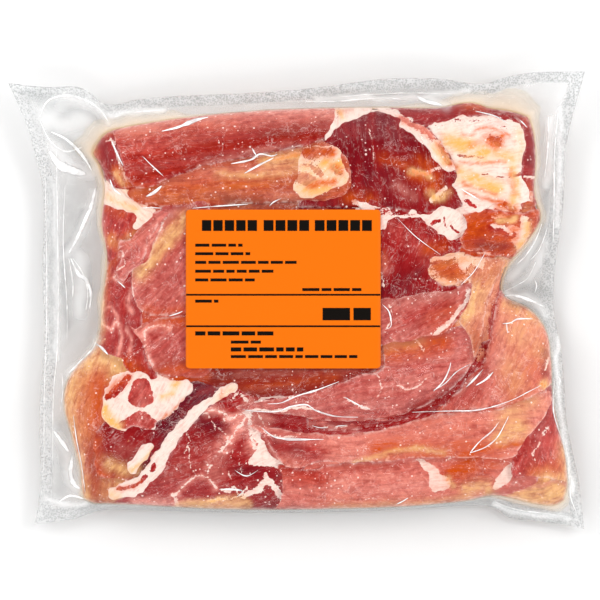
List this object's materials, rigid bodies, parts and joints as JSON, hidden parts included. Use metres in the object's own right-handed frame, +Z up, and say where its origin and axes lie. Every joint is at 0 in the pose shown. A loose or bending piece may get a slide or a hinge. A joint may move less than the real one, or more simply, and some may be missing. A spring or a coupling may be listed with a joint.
{
  "type": "vacuum pack of sliced back bacon",
  "caption": "Flat vacuum pack of sliced back bacon in a clear sealed pouch, with an orange label on its top face.",
  "frame": {"origin": "on the surface that the pack lies on, under the middle of the pouch's box", "axes": "+X along the pack's long side, to the right when the label is read, +Y towards the label's top edge, +Z up out of the labelled face"},
  "size_m": [0.3008, 0.2388, 0.0439],
  "materials": {
    "film": "clear nylon and polyethylene vacuum film, glossy, frosted by a dotted emboss along its seals",
    "lean": "cured raw pork lean, wet behind the film",
    "fat": "pork back fat, creamy white with pink and yellow parts",
    "juice": "thin cloudy curing juice caught in folds of the film",
    "label": "orange coated paper, satin",
    "print": "flat black ink"
  },
  "bodies": {
    "root": {"bag": "film", "label": "label"}
  },
  "joints": []
}
